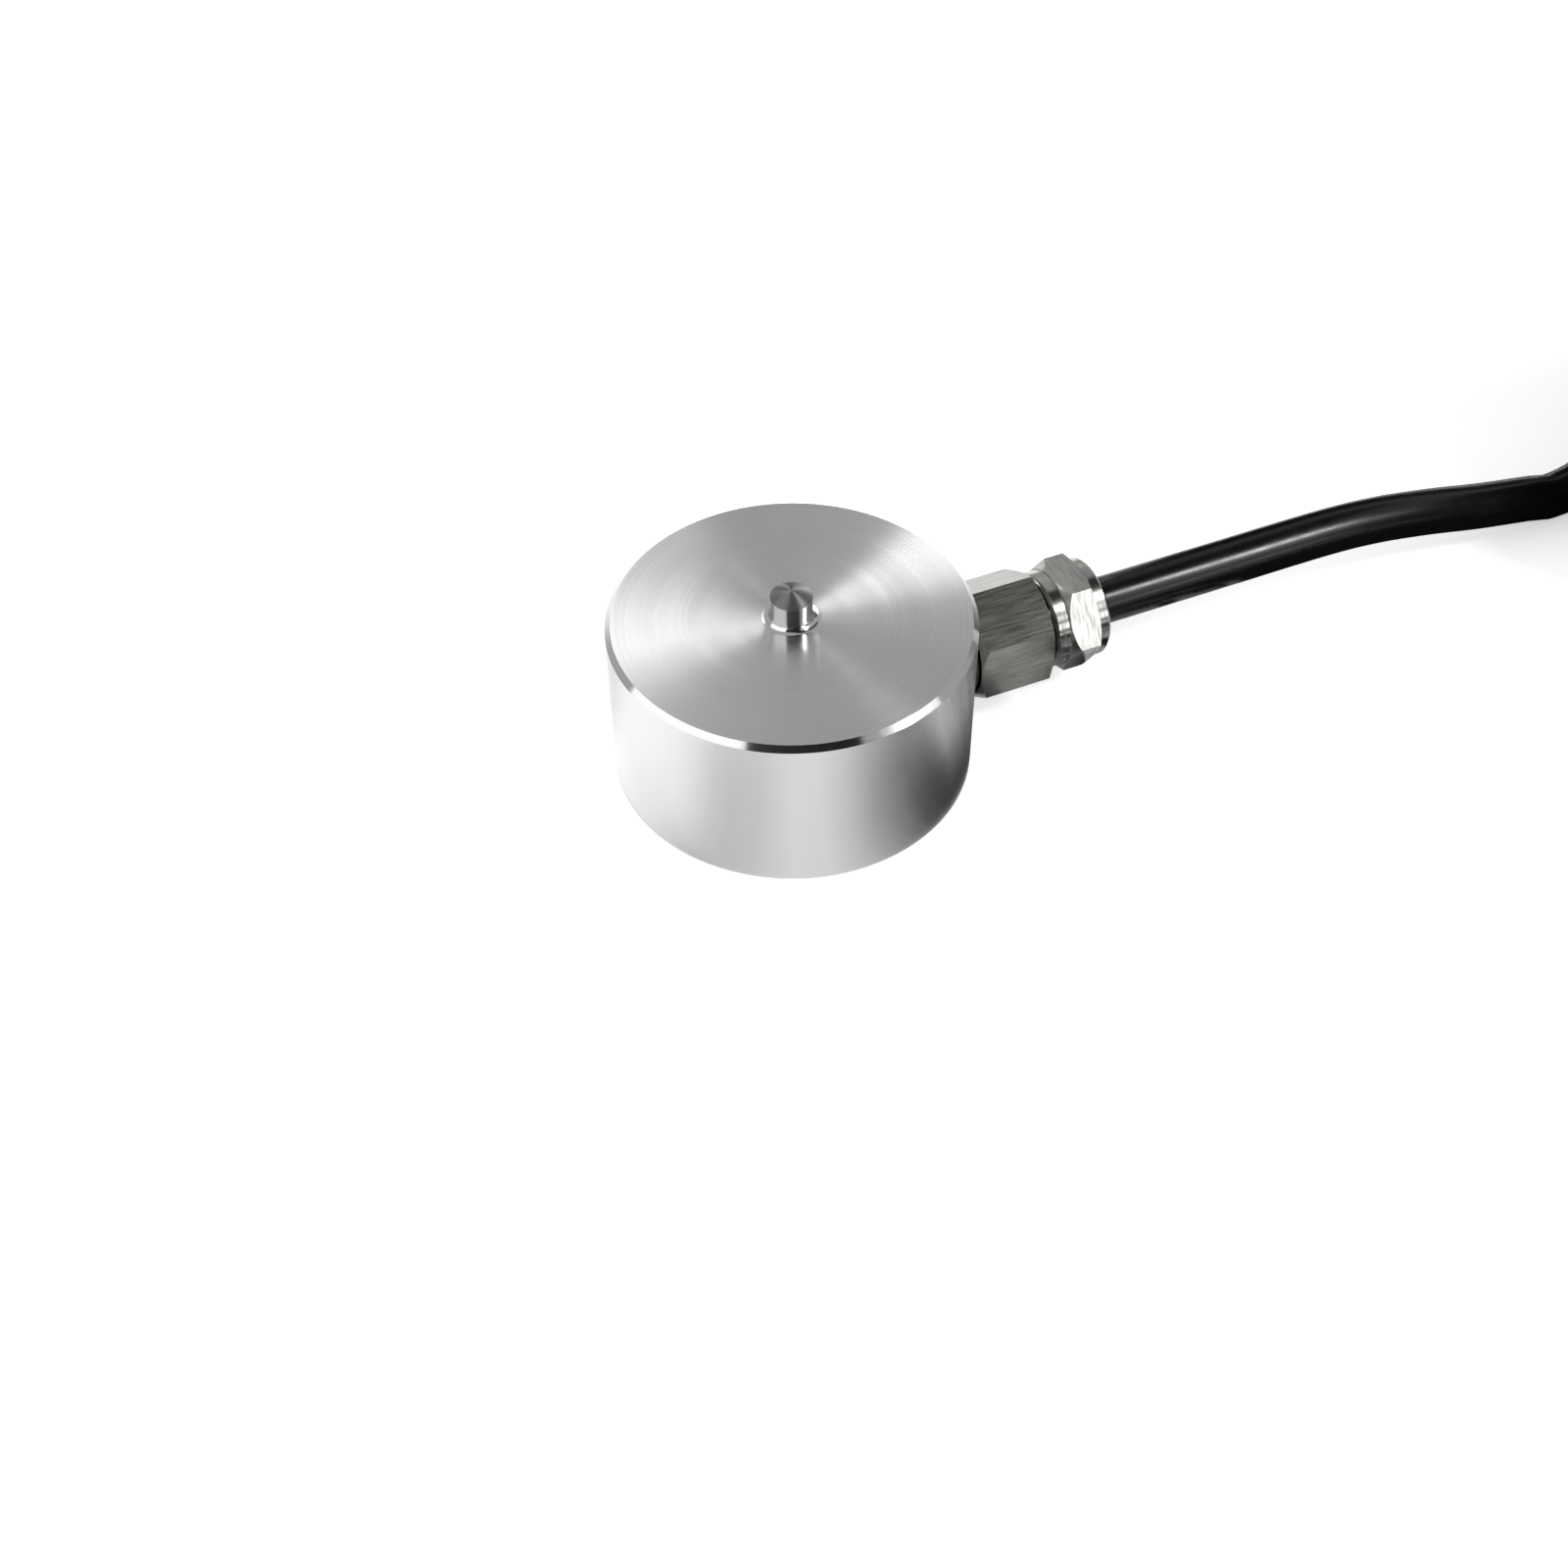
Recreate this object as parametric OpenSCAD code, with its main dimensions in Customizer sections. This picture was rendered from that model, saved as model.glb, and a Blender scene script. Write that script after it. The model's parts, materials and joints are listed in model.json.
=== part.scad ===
// Button load cell: a low steel cylinder with a small domed load button on top, foil strain
// gauges under a thin web inside, and a hexagon cable fitting that leaves the side along +X.
// Origin: centre of the mounting face. +Z: up, against the load. Lengths in millimetres.

/* [Body] */
// Outside diameter of the body
body_d = 20; // [19:0.5:30]
// Height of the body from the mounting face to the top face
body_h = 10; // [9:0.5:14]
// Bevel along the two outer edges
edge_bevel = 0.3; // [0.1:0.05:0.6]
// Wall between the gauge cavity and the outside
wall_t = 4.2; // [4:0.1:4.5]
// Thickness of the web that carries the gauges
web_t = 1.4; // [0.8:0.1:1.8]
// Diameter of the boss under the button
boss_d = 4.4; // [3:0.1:4.8]
// Length of the boss below the web
boss_l = 2; // [1:0.1:2.5]

/* [Load button] */
// Diameter of the button
button_d = 2.3; // [1.8:0.1:3]
// Height of the button above the top face
button_h = 1.9; // [1.4:0.1:3]
// Radius of its domed end
dome_r = 1.8; // [1.6:0.1:6]
// Radius of the hollow flare at its foot
foot_r = 0.45; // [0.2:0.05:0.8]

/* [Base cover] */
// Thickness of the cover
cover_t = 0.8; // [0.5:0.1:1]
// How far the cover lies inside the mounting face
cover_set_in = 0.2; // [0.1:0.05:0.4]
// Width of the ledge that the cover seats on
cover_ledge = 0.8; // [0.4:0.1:1]

/* [Mounting holes] */
// Number of tapped holes
hole_count = 3; // [2:1:3]
// Distance of each hole's centre from the outside of the body
hole_inset = 1.75; // [1.6:0.05:1.9]
// Tapping diameter of each hole
hole_d = 2.05; // [1.6:0.05:2.1]
// Depth of each hole to its full diameter
hole_depth = 4; // [2:0.5:5]

/* [Cable port] */
// Height of the fitting's axis above the mounting face
port_z = 4.3; // [4:0.1:4.6]
// Thread diameter of the stub in the wall
stub_d = 4.5; // [4:0.1:4.8]
// Length of the stub in the wall
stub_l = 3.2; // [2:0.1:3.6]
// Diameter of the flat spot that the seal lies on
spot_d = 6; // [5.6:0.1:6.2]
// Width of the seal between the spot and the hexagon
seal_w = 0.65; // [0.4:0.05:0.9]

/* [Cable fitting] */
// Size of the fitting across its flats
hex_af = 6; // [5.6:0.1:7]
// Length of the hexagon
hex_l = 4.6; // [4:0.1:6]
// Thread diameter under the nut
thread_d = 4.4; // [4.2:0.1:4.5]
// Length of the neck that shows between the hexagon and the nut
neck_l = 0.3; // [0.2:0.1:0.8]
// Length of the thread past the neck
thread_l = 1.9; // [1.5:0.1:2.2]
// Length of the rubber bush
bush_l = 2.4; // [1.5:0.1:3]
// Wall of the rubber bush
bush_wall = 0.4; // [0.3:0.05:0.45]
// Thickness of the washer between the bush and the nut
washer_t = 0.4; // [0.2:0.1:0.6]

/* [Nut] */
// Size of the nut across its flats
nut_af = 5.8; // [5.6:0.1:6.5]
// Length of the turned collar at the inner end
collar_l = 0.85; // [0.6:0.05:1.2]
// Length of the nut's hexagon with its chamfers
nut_hex_l = 1.85; // [1.5:0.05:2.5]
// Length of the turned rim at the outer end
rim_l = 0.7; // [0.5:0.05:1.2]
// Wall of the nut round its thread
nut_wall = 0.6; // [0.5:0.05:0.65]

/* [Gauges and board] */
// Room between a gauge and the boss, and between it and the cavity's wall
gauge_room = 0.35; // [0.3:0.05:0.6]
// Width of a gauge
gauge_w = 2.4; // [2:0.1:2.8]
// Thickness of the gauge backing
backing_t = 0.1; // [0.05:0.01:0.2]
// Thickness of the gauge foil
foil_t = 0.05; // [0.03:0.01:0.1]
// Number of strands in a gauge
strands = 8; // [4:2:10]
// Thickness of the board
board_t = 0.6; // [0.4:0.1:1]
// Thickness of the insulation under the board
insulation_t = 0.2; // [0.1:0.05:0.3]
// Thickness of a solder pad
pad_t = 0.15; // [0.1:0.05:0.3]
// Diameter of a gauge wire
gauge_wire_d = 0.25; // [0.2:0.05:0.3]

/* [Cable] */
// Diameter of the jacket
cable_d = 2.8; // [2.6:0.1:2.9]
// Diameter of an insulated core
core_d = 0.8; // [0.6:0.05:0.85]
// Diameter of a tinned lead end and of the drain wire
tip_d = 0.5; // [0.3:0.05:0.55]
// Thickness of a coil tie
tie_t = 0.5; // [0.3:0.1:0.8]
// Width of a coil tie, as an angle of the coil
tie_angle = 14; // [8:1:20]

/* [Hidden] */
$fn = 96;

steel = "#b9b9b6";
nickel = "#a9a9a4";
rubber = "#1c1c1e";
core_colors = ["#b3261e", "#222224", "#2f7d3b", "#e8e8e4"];

// Clearances between mating pieces
thread_gap = 0.05;
slide_gap = 0.1;
cover_gap = 0.05;
tie_gap = 0.03;

// Body
body_r = body_d / 2;
cavity_r = body_r - wall_t;
hole_circle_r = body_r - hole_inset;
cover_recess_r = cavity_r + cover_ledge;
cavity_floor_z = cover_set_in + cover_t;
web_z = body_h - web_t;
drill_point = 0.3;
overshoot = 0.5;

// Fitting, as distances along its axis from the body's centre
spot_x = sqrt(pow(body_r, 2) - pow(spot_d / 2, 2));
hex_x = spot_x + seal_w;
hex_end_x = hex_x + hex_l;
thread_x = hex_end_x + neck_l;
thread_end_x = thread_x + thread_l;
nut_shoulder_x = thread_end_x + washer_t;
stub_end_x = spot_x - stub_l;
core_bore_l = 1.8;
jacket_stop_x = stub_end_x + core_bore_l;
nut_end_x = thread_x + collar_l + nut_hex_l + rim_l;
neck_undercut = 0.2;
hex_chamfers = [0.4, 0.2];
nut_chamfers = [0.4, 0.25];
nut_bevel = 0.15;
nut_step = 0.05;
end_face_margin = 0.02;
jacket_bore_d = cable_d + 2 * slide_gap;
bush_d = cable_d + 2 * bush_wall;
core_bore_d = 2.2;

// Gauges and board
gauge_count = 4;
gauge_r = (boss_d / 2 + cavity_r) / 2;
gauge_l = cavity_r - boss_d / 2 - 2 * gauge_room;
gauge_margin = 0.25;
tab_l = 0.5;
tab_w = 0.7;
tab_out = gauge_l / 2 - gauge_margin - tab_l / 2;
tab_side = gauge_w / 2 - gauge_margin - tab_w / 2;
foil_z = web_z - backing_t - foil_t;
board_z = cavity_floor_z + insulation_t;
board_top_z = board_z + board_t;
pad_top_z = board_top_z + pad_t;
board_r = cavity_r - 2 * slide_gap;
wire_pad_d = 0.7;
wire_pad_edge = 0.35;
wire_pad_r = board_r - wire_pad_d / 2 - wire_pad_edge;
core_pad_x = cavity_r - 2.2;
core_pad_step = 1.4;
core_pad_size = 0.9;
core_offset = core_d * 0.54;
drain_drop = 1;
core_end_gap = 0.03;
trim_chip = [1.6, 0.8, 0.45];
trim_chip_x = -0.6;
trim_chip_y = 1.3;
temperature_chip = [1.2, 2, 0.5];
temperature_chip_x = -2.6;

// Cable: the stretch between the fitting and the coil, through points chosen by hand
cable_route = [
    [8.2, 0, 4.3], [14, 0, 4.3], [20, 0, 4.3], [27, 0, 4.3], [34, 0, 4.3], [38, 0, 4.05],
    [42, 0, 3.4], [46, 0, 2.55], [50, 0, 1.85], [53.5, 0.2, 1.5], [56.6, 1.2, 1.5]
];

// Coil of the spare cable
coil_centre = [72, -9];
coil_mid_r = 14.6;
turns_wide = 3;
turns_high = 5;
coil_out_r = coil_mid_r + turns_wide * cable_d / 2;
coil_in_r = coil_mid_r - turns_wide * cable_d / 2;
coil_top_z = tie_t + turns_high * cable_d;
tie_places = [-15, 180];

// Cable end, which lies along the top of the coil
tail_start = 66;
tail_end = -74;
tail_r = 14.6;
tail_swing = -2.8;
swing_end = -6;
rise_angle = 22;
tail_steps = 20;
sleeve_wall = 0.35;
sleeve_start = -53;
sleeve_end = -95;
sleeve_steps = 6;
lead_end = -150;
lead_stagger = 3;
tip_angle = 16;
lead_gap_angle = 1;
lanes = [-2.6, 2.6, -1.3, 1.3, 0];
lane_angle = 24;
sink_start = 8;
sink_angle = 30;

function unit(v) = v / norm(v);
function mix(a, b, t) = a + (b - a) * t;
function ease(t) = t * t * (3 - 2 * t);
function clamp(t) = min(1, max(0, t));

// Direction of a path at its point i
function heading(path, i) = unit(path[min(i + 1, len(path) - 1)] - path[max(i - 1, 0)]);

// Points of the ring of a tube at point i of its path
function tube_ring(path, i, d, sides, ref) =
    let (h = heading(path, i), s = unit(cross(h, ref)), t = cross(s, h))
    [for (k = [0:sides - 1]) path[i] + d / 2 * (cos(360 * k / sides) * s + sin(360 * k / sides) * t)];

// A smooth path through the given points, with the given number of steps between two of them
function smooth_path(p, steps) =
    let (last = len(p) - 1)
    concat(
        [for (i = [0:last - 1], k = [0:steps - 1])
            let (
                t = k / steps,
                before = p[max(i - 1, 0)],
                after = p[min(i + 2, last)],
                m0 = (p[i + 1] - before) / 2,
                m1 = (after - p[i]) / 2
            )
            (2 * pow(t, 3) - 3 * pow(t, 2) + 1) * p[i] + (pow(t, 3) - 2 * pow(t, 2) + t) * m0
            + (3 * pow(t, 2) - 2 * pow(t, 3)) * p[i + 1] + (pow(t, 3) - pow(t, 2)) * m1],
        [p[last]]
    );

// A point of the coil's top at an angle, a radius and a height
function coil_point(angle, r, z) =
    [coil_centre[0] + r * cos(angle), coil_centre[1] + r * sin(angle), z];

function tail_radius(angle) =
    tail_r + tail_swing * ease(clamp((angle - swing_end) / (tail_start - swing_end)));
function tail_height(angle) =
    coil_top_z + cable_d / 2 + sleeve_wall * ease(clamp((sleeve_start + rise_angle - angle) / rise_angle));
function tail_point(angle) = coil_point(angle, tail_radius(angle), tail_height(angle));

// Where core i lies in the cable: two above two, and the drain wire, the fifth, under them
function core_place(i) =
    i < 4 ? [(i % 2 == 0 ? -1 : 1) * core_offset, (i < 2 ? 1 : -1) * core_offset] : [0, -drain_drop];

// Path of lead i from the end of the jacket to the angle where it ends: it moves sideways to its
// lane past the sleeve, and then sinks to the top of the coil
function lead_path(i, to, d) = [
    for (k = [0:12])
        let (
            a = mix(tail_end - lead_gap_angle, to, k / 12),
            place = core_place(i),
            spread = ease(clamp((sleeve_end - a) / lane_angle)),
            sunk = ease(clamp((sleeve_end - sink_start - a) / sink_angle)),
            r = tail_r + mix(place[0], lanes[i], spread),
            z = mix(tail_height(a) + place[1], coil_top_z + d / 2, sunk)
        )
        coil_point(a, r, z)
];

module tube(path, d, sides = 8, ref = [0, 0, 1]) {
    last = len(path) - 1;
    points = [for (i = [0:last], p = tube_ring(path, i, d, sides, ref)) p];
    walls = [
        for (i = [0:last - 1], k = [0:sides - 1])
            let (here = i * sides, next = here + sides, k2 = (k + 1) % sides)
            [here + k, here + k2, next + k2, next + k]
    ];
    start_cap = [for (k = [sides - 1:-1:0]) k];
    end_cap = [for (k = [0:sides - 1]) last * sides + k];
    polyhedron(points = points, faces = concat(walls, [start_cap, end_cap]), convexity = 8);
}

// Turns a shape made along +Z onto the fitting's axis, starting at distance x
module along_fitting(x = 0) {
    translate([x, 0, port_z]) rotate([0, 90, 0]) children();
}

// A bore along the fitting's axis from one distance to another
module fitting_bore(from, to, d) {
    along_fitting(from) cylinder(d = d, h = to - from);
}

// Hexagon prism whose corners are turned off at both ends, by the two chamfer lengths
module chamfered_hexagon(af, l, chamfers, turn) {
    corner_r = af / sqrt(3);
    flat_r = af / 2 - end_face_margin;
    intersection() {
        rotate(turn) cylinder(r = corner_r, h = l, $fn = 6);
        rotate_extrude() polygon([
            [0, 0], [flat_r, 0], [corner_r, chamfers[0]],
            [corner_r, l - chamfers[1]], [flat_r, l], [0, l]
        ]);
    }
}

module body_blank() {
    rotate_extrude() polygon([
        [0, 0], [body_r - edge_bevel, 0], [body_r, edge_bevel],
        [body_r, body_h - edge_bevel], [body_r - edge_bevel, body_h], [0, body_h]
    ]);
}

module load_button() {
    button_r = button_d / 2;
    translate([0, 0, body_h - overshoot]) intersection() {
        cylinder(r = button_r, h = button_h + overshoot);
        translate([0, 0, button_h + overshoot - dome_r]) sphere(r = dome_r);
    }
    translate([0, 0, body_h - overshoot]) cylinder(r = button_r, h = overshoot + button_h / 2);
    translate([0, 0, body_h]) rotate_extrude() difference() {
        square([button_r + foot_r, foot_r]);
        translate([button_r + foot_r, foot_r]) circle(r = foot_r);
    }
}

module gauge_cavity() {
    cavity_h = web_z - cavity_floor_z + overshoot;
    translate([0, 0, cavity_floor_z - overshoot]) difference() {
        cylinder(r = cavity_r, h = cavity_h);
        translate([0, 0, cavity_h - boss_l]) cylinder(d = boss_d, h = boss_l + overshoot);
    }
    translate([0, 0, -overshoot]) cylinder(r = cover_recess_r, h = cavity_floor_z + overshoot);
}

module mounting_holes() {
    point_h = hole_d * drill_point;
    for (i = [0:hole_count - 1])
        rotate(180 + 360 * i / hole_count) translate([hole_circle_r, 0, 0]) {
            translate([0, 0, -overshoot]) cylinder(d = hole_d, h = hole_depth + overshoot, $fn = 48);
            translate([0, 0, hole_depth]) cylinder(d1 = hole_d, d2 = 0, h = point_h, $fn = 48);
        }
}

module cable_port() {
    fitting_bore(cavity_r - 2, spot_x + overshoot, stub_d + 2 * thread_gap);
    fitting_bore(spot_x, body_r + overshoot, spot_d);
}

module load_body() {
    color(steel) difference() {
        union() {
            body_blank();
            load_button();
        }
        gauge_cavity();
        mounting_holes();
        cable_port();
    }
}

module base_cover() {
    color(steel) translate([0, 0, cover_set_in]) cylinder(r = cover_recess_r - cover_gap, h = cover_t);
}

module insulation_disc() {
    color("#c58b2a") translate([0, 0, cavity_floor_z]) cylinder(r = cavity_r - slide_gap, h = insulation_t);
}

module junction_board() {
    color("#1f5c38") translate([0, 0, board_z]) cylinder(r = board_r, h = board_t);
}

module solder_pads() {
    color("#c9c6bd") translate([0, 0, board_top_z]) {
        for (i = [0:3])
            translate([core_pad_x, core_pad_step * (i - 1.5), pad_t / 2])
                cube([core_pad_size, core_pad_size, pad_t], center = true);
        for (n = [1:gauge_count], side = [-1, 1])
            rotate(gauge_angle(n)) translate([wire_pad_r, side * tab_side, 0])
                cylinder(d = wire_pad_d, h = pad_t, $fn = 32);
    }
}

// A chip resistor that stands on the board
module chip(x, y, size) {
    translate([x, y, board_top_z + size[2] / 2]) cube(size, center = true);
}

module trim_resistors() {
    color("#26262a") for (side = [-1, 1]) chip(trim_chip_x, side * trim_chip_y, trim_chip);
}

module temperature_resistor() {
    color("#d8d2c0") chip(temperature_chip_x, 0, temperature_chip);
}

function gauge_angle(n) = 45 + 360 * (n - 1) / gauge_count;

module gauge_backing(n) {
    color("#d9a33c") rotate(gauge_angle(n)) translate([gauge_r, 0, web_z - backing_t / 2])
        cube([gauge_l, gauge_w, backing_t], center = true);
}

// Foil gauge: parallel strands joined by loops in turn, with a solder tab at each outer corner
module gauge_grid(n) {
    grid_l = gauge_l - 2 * gauge_margin - tab_l;
    pitch = (gauge_w - 2 * gauge_margin) / strands;
    strand_w = pitch * 0.55;
    color("#b58a5a") rotate(gauge_angle(n)) translate([gauge_r, 0, foil_z]) linear_extrude(height = foil_t) {
        for (i = [0:strands - 1])
            translate([-gauge_l / 2 + gauge_margin, pitch * (i - (strands - 1) / 2) - strand_w / 2])
                square([grid_l, strand_w]);
        for (i = [0:strands - 2])
            translate([
                i % 2 == 0 ? -gauge_l / 2 + gauge_margin : -gauge_l / 2 + gauge_margin + grid_l - strand_w,
                pitch * (i - (strands - 1) / 2) - strand_w / 2
            ]) square([strand_w, pitch + strand_w]);
        for (side = [-1, 1])
            translate([tab_out - tab_l / 2 - 0.02, side * tab_side - tab_w / 2]) square([tab_l, tab_w]);
    }
}

module gauge_wires() {
    color("#9c4a1a") for (n = [1:gauge_count], side = [-1, 1])
        rotate(gauge_angle(n)) tube(
            smooth_path([
                [gauge_r + tab_out, side * tab_side, foil_z],
                [gauge_r + tab_out, side * tab_side, foil_z - 1.2],
                [wire_pad_r - 0.4, side * (tab_side + 0.3), mix(pad_top_z, foil_z, 0.5)],
                [wire_pad_r, side * tab_side, pad_top_z + 1],
                [wire_pad_r, side * tab_side, pad_top_z]
            ], 3), gauge_wire_d, 6, [1, 0, 0]
        );
}

// Insulated core i from the end of the jacket to its pad on the board
module core(i) {
    place = core_place(i);
    pad_y = core_pad_step * ([0, 3, 1, 2][i] - 1.5);
    color(core_colors[i]) tube(
        smooth_path([
            [jacket_stop_x, place[0], port_z + place[1]],
            [stub_end_x, place[0], port_z + place[1]],
            [stub_end_x - 1.2, mix(place[0], pad_y, 0.4), port_z + place[1] - 0.3],
            [core_pad_x + 0.4, mix(place[0], pad_y, 0.85), mix(pad_top_z, port_z, 0.6) + place[1] / 2],
            [core_pad_x, pad_y, pad_top_z + 0.6],
            [core_pad_x, pad_y, pad_top_z + core_end_gap]
        ], 3), core_d, 8, [0, 1, 0]
    );
}

module core_red() { core(0); }
module core_black() { core(1); }
module core_green() { core(2); }
module core_white() { core(3); }

module gland_body() {
    color(nickel) difference() {
        union() {
            fitting_bore(stub_end_x, hex_x + overshoot, stub_d);
            along_fitting(hex_x) chamfered_hexagon(hex_af, hex_l, hex_chamfers, 0);
            fitting_bore(hex_end_x - overshoot, thread_x + overshoot, thread_d - 2 * neck_undercut);
            fitting_bore(thread_x, thread_end_x, thread_d);
        }
        fitting_bore(stub_end_x - overshoot, jacket_stop_x + overshoot, core_bore_d);
        fitting_bore(jacket_stop_x, thread_end_x + overshoot, jacket_bore_d);
        fitting_bore(thread_end_x - bush_l, thread_end_x + overshoot, bush_d);
    }
}

module port_seal() {
    seal_r = seal_w / 2;
    color(rubber) along_fitting(spot_x) rotate_extrude() translate([stub_d / 2, 0]) union() {
        translate([seal_r, seal_r]) circle(r = seal_r);
        square([seal_r, seal_w]);
    }
}

module seal_bush() {
    color(rubber) difference() {
        fitting_bore(thread_end_x - bush_l, thread_end_x, bush_d);
        fitting_bore(thread_end_x - bush_l - overshoot, thread_end_x + overshoot, cable_d);
    }
}

module thrust_washer() {
    color("#c9b06a") difference() {
        fitting_bore(thread_end_x, nut_shoulder_x, thread_d);
        fitting_bore(thread_end_x - overshoot, nut_shoulder_x + overshoot, jacket_bore_d);
    }
}

module gland_nut() {
    nut_thread_d = thread_d + 2 * thread_gap;
    collar_r = nut_thread_d / 2 + nut_wall - nut_step;
    collar_h = collar_l + overshoot;
    rim_r = nut_af / 2 - nut_step;
    rim_h = rim_l + overshoot;
    color(nickel) difference() {
        union() {
            along_fitting(thread_x) rotate_extrude() polygon([
                [0, 0], [collar_r - nut_bevel, 0], [collar_r, nut_bevel], [collar_r, collar_h],
                [0, collar_h]
            ]);
            along_fitting(thread_x + collar_l) chamfered_hexagon(nut_af, nut_hex_l, nut_chamfers, 30);
            along_fitting(thread_x + collar_l + nut_hex_l - overshoot) rotate_extrude() polygon([
                [0, 0], [rim_r, 0], [rim_r, rim_h - nut_bevel], [rim_r - nut_bevel, rim_h], [0, rim_h]
            ]);
        }
        fitting_bore(thread_x - overshoot, nut_shoulder_x, nut_thread_d);
        fitting_bore(nut_shoulder_x - overshoot, nut_end_x + overshoot, jacket_bore_d);
    }
}

module cable() {
    color(rubber) difference() {
        tube(cable_route, cable_d);
        translate([coil_centre[0], coil_centre[1], -overshoot])
            cylinder(r = coil_out_r, h = coil_top_z + overshoot);
    }
}

// Section of the coil across its turns, with round corners
module coil_section() {
    corner = cable_d / 2;
    wide = coil_out_r - coil_in_r;
    high = coil_top_z - tie_t;
    translate([coil_in_r, tie_t]) {
        translate([corner, 0]) square([wide - 2 * corner, high]);
        translate([0, corner]) square([wide, high - 2 * corner]);
        for (x = [corner, wide - corner], y = [corner, high - corner])
            translate([x, y]) circle(r = corner);
    }
}

module cable_coil() {
    color(rubber) translate([coil_centre[0], coil_centre[1], 0]) rotate_extrude() coil_section();
}

module cable_tail() {
    path = [for (k = [0:tail_steps]) tail_point(mix(tail_start, tail_end, k / tail_steps))];
    color(rubber) tube(path, cable_d);
}

// What a tie goes round: the coil's section, and the cable end where that lies in its way
module tied_section(angle) {
    hull() {
        coil_section();
        if (angle < tail_start) {
            end_point = [tail_radius(angle), tail_height(angle)];
            translate(end_point) circle(d = cable_d, $fn = 32);
        }
    }
}

module coil_ties() {
    color("#2b2b2d") for (angle = tie_places)
        translate([coil_centre[0], coil_centre[1], 0]) rotate(angle - tie_angle / 2)
            rotate_extrude(angle = tie_angle) difference() {
                offset(r = tie_t) tied_section(angle);
                offset(r = tie_gap) tied_section(angle);
            }
}

module end_sleeve() {
    path = [for (k = [0:sleeve_steps]) tail_point(mix(sleeve_start, sleeve_end, k / sleeve_steps))];
    bore = [for (k = [-1:sleeve_steps + 1]) tail_point(mix(sleeve_start, sleeve_end, k / sleeve_steps))];
    color(rubber) difference() {
        tube(path, cable_d + 2 * sleeve_wall, 12);
        tube(bore, cable_d + 2 * slide_gap, 12);
    }
}

// Insulated lead i past the end of the jacket
module lead(i) {
    color(core_colors[i]) tube(lead_path(i, lead_end + lead_stagger * i, core_d), core_d, 6);
}

module lead_red() { lead(0); }
module lead_black() { lead(1); }
module lead_green() { lead(2); }
module lead_white() { lead(3); }

module drain_wire() {
    color("#c9c6bd") tube(lead_path(4, lead_end - tip_angle, tip_d), tip_d, 6);
}

module lead_tips() {
    color("#c9c6bd") for (i = [0:3]) {
        from = lead_end + lead_stagger * i;
        z = coil_top_z + core_d / 2;
        tube([for (k = [0:3]) coil_point(from - tip_angle * k / 3, tail_r + lanes[i], z)], tip_d, 6);
    }
}

load_body();
base_cover();
insulation_disc();
junction_board();
solder_pads();
trim_resistors();
temperature_resistor();
for (n = [1:gauge_count]) {
    gauge_backing(n);
    gauge_grid(n);
}
gauge_wires();
core_red();
core_black();
core_green();
core_white();
gland_body();
port_seal();
seal_bush();
thrust_washer();
gland_nut();
cable();
cable_coil();
cable_tail();
coil_ties();
end_sleeve();
lead_red();
lead_black();
lead_green();
lead_white();
drain_wire();
lead_tips();
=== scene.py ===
"""Looks of a button load cell: turned steel body, cable fitting, glossy cable and its coil.

Everything is in metres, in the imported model's frame: the origin is the centre of the mounting face,
+Z points against the load, and +X runs out of the body along the cable fitting.
"""

import json
import logging
import math
from dataclasses import dataclass, field
from enum import Enum

import bpy
import numpy as np
from mathutils import Matrix

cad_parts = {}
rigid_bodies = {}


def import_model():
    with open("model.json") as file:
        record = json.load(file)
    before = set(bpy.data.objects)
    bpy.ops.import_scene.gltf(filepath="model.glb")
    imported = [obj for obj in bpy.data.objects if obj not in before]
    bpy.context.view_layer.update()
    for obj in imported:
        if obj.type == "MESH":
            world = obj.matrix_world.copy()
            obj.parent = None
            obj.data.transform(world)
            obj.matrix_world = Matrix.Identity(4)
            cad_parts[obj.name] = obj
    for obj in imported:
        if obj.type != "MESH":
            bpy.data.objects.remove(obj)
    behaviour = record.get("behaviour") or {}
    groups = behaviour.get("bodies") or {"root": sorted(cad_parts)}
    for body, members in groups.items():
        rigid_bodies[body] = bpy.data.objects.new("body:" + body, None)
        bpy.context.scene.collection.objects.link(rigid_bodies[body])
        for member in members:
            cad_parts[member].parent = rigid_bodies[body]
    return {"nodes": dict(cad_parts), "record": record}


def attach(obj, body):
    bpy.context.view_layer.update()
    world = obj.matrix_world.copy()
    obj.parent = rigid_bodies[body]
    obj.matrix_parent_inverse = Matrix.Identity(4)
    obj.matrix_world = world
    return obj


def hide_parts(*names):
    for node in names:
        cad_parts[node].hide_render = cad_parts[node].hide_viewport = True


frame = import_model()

MM = 0.001
log = logging.getLogger("load_cell")

Array = np.ndarray
Node = bpy.types.ShaderNode
Socket = bpy.types.NodeSocket
Colour = tuple[float, float, float]


def unit(v: Array) -> Array:
    """Rows of v at length one."""
    return v / np.linalg.norm(v, axis=-1, keepdims=True)


def ease(t: Array) -> Array:
    """Smooth step 3 t^2 - 2 t^3 of t held between 0 and 1."""
    t = np.clip(t, 0.0, 1.0)
    return t * t * (3.0 - 2.0 * t)


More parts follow.
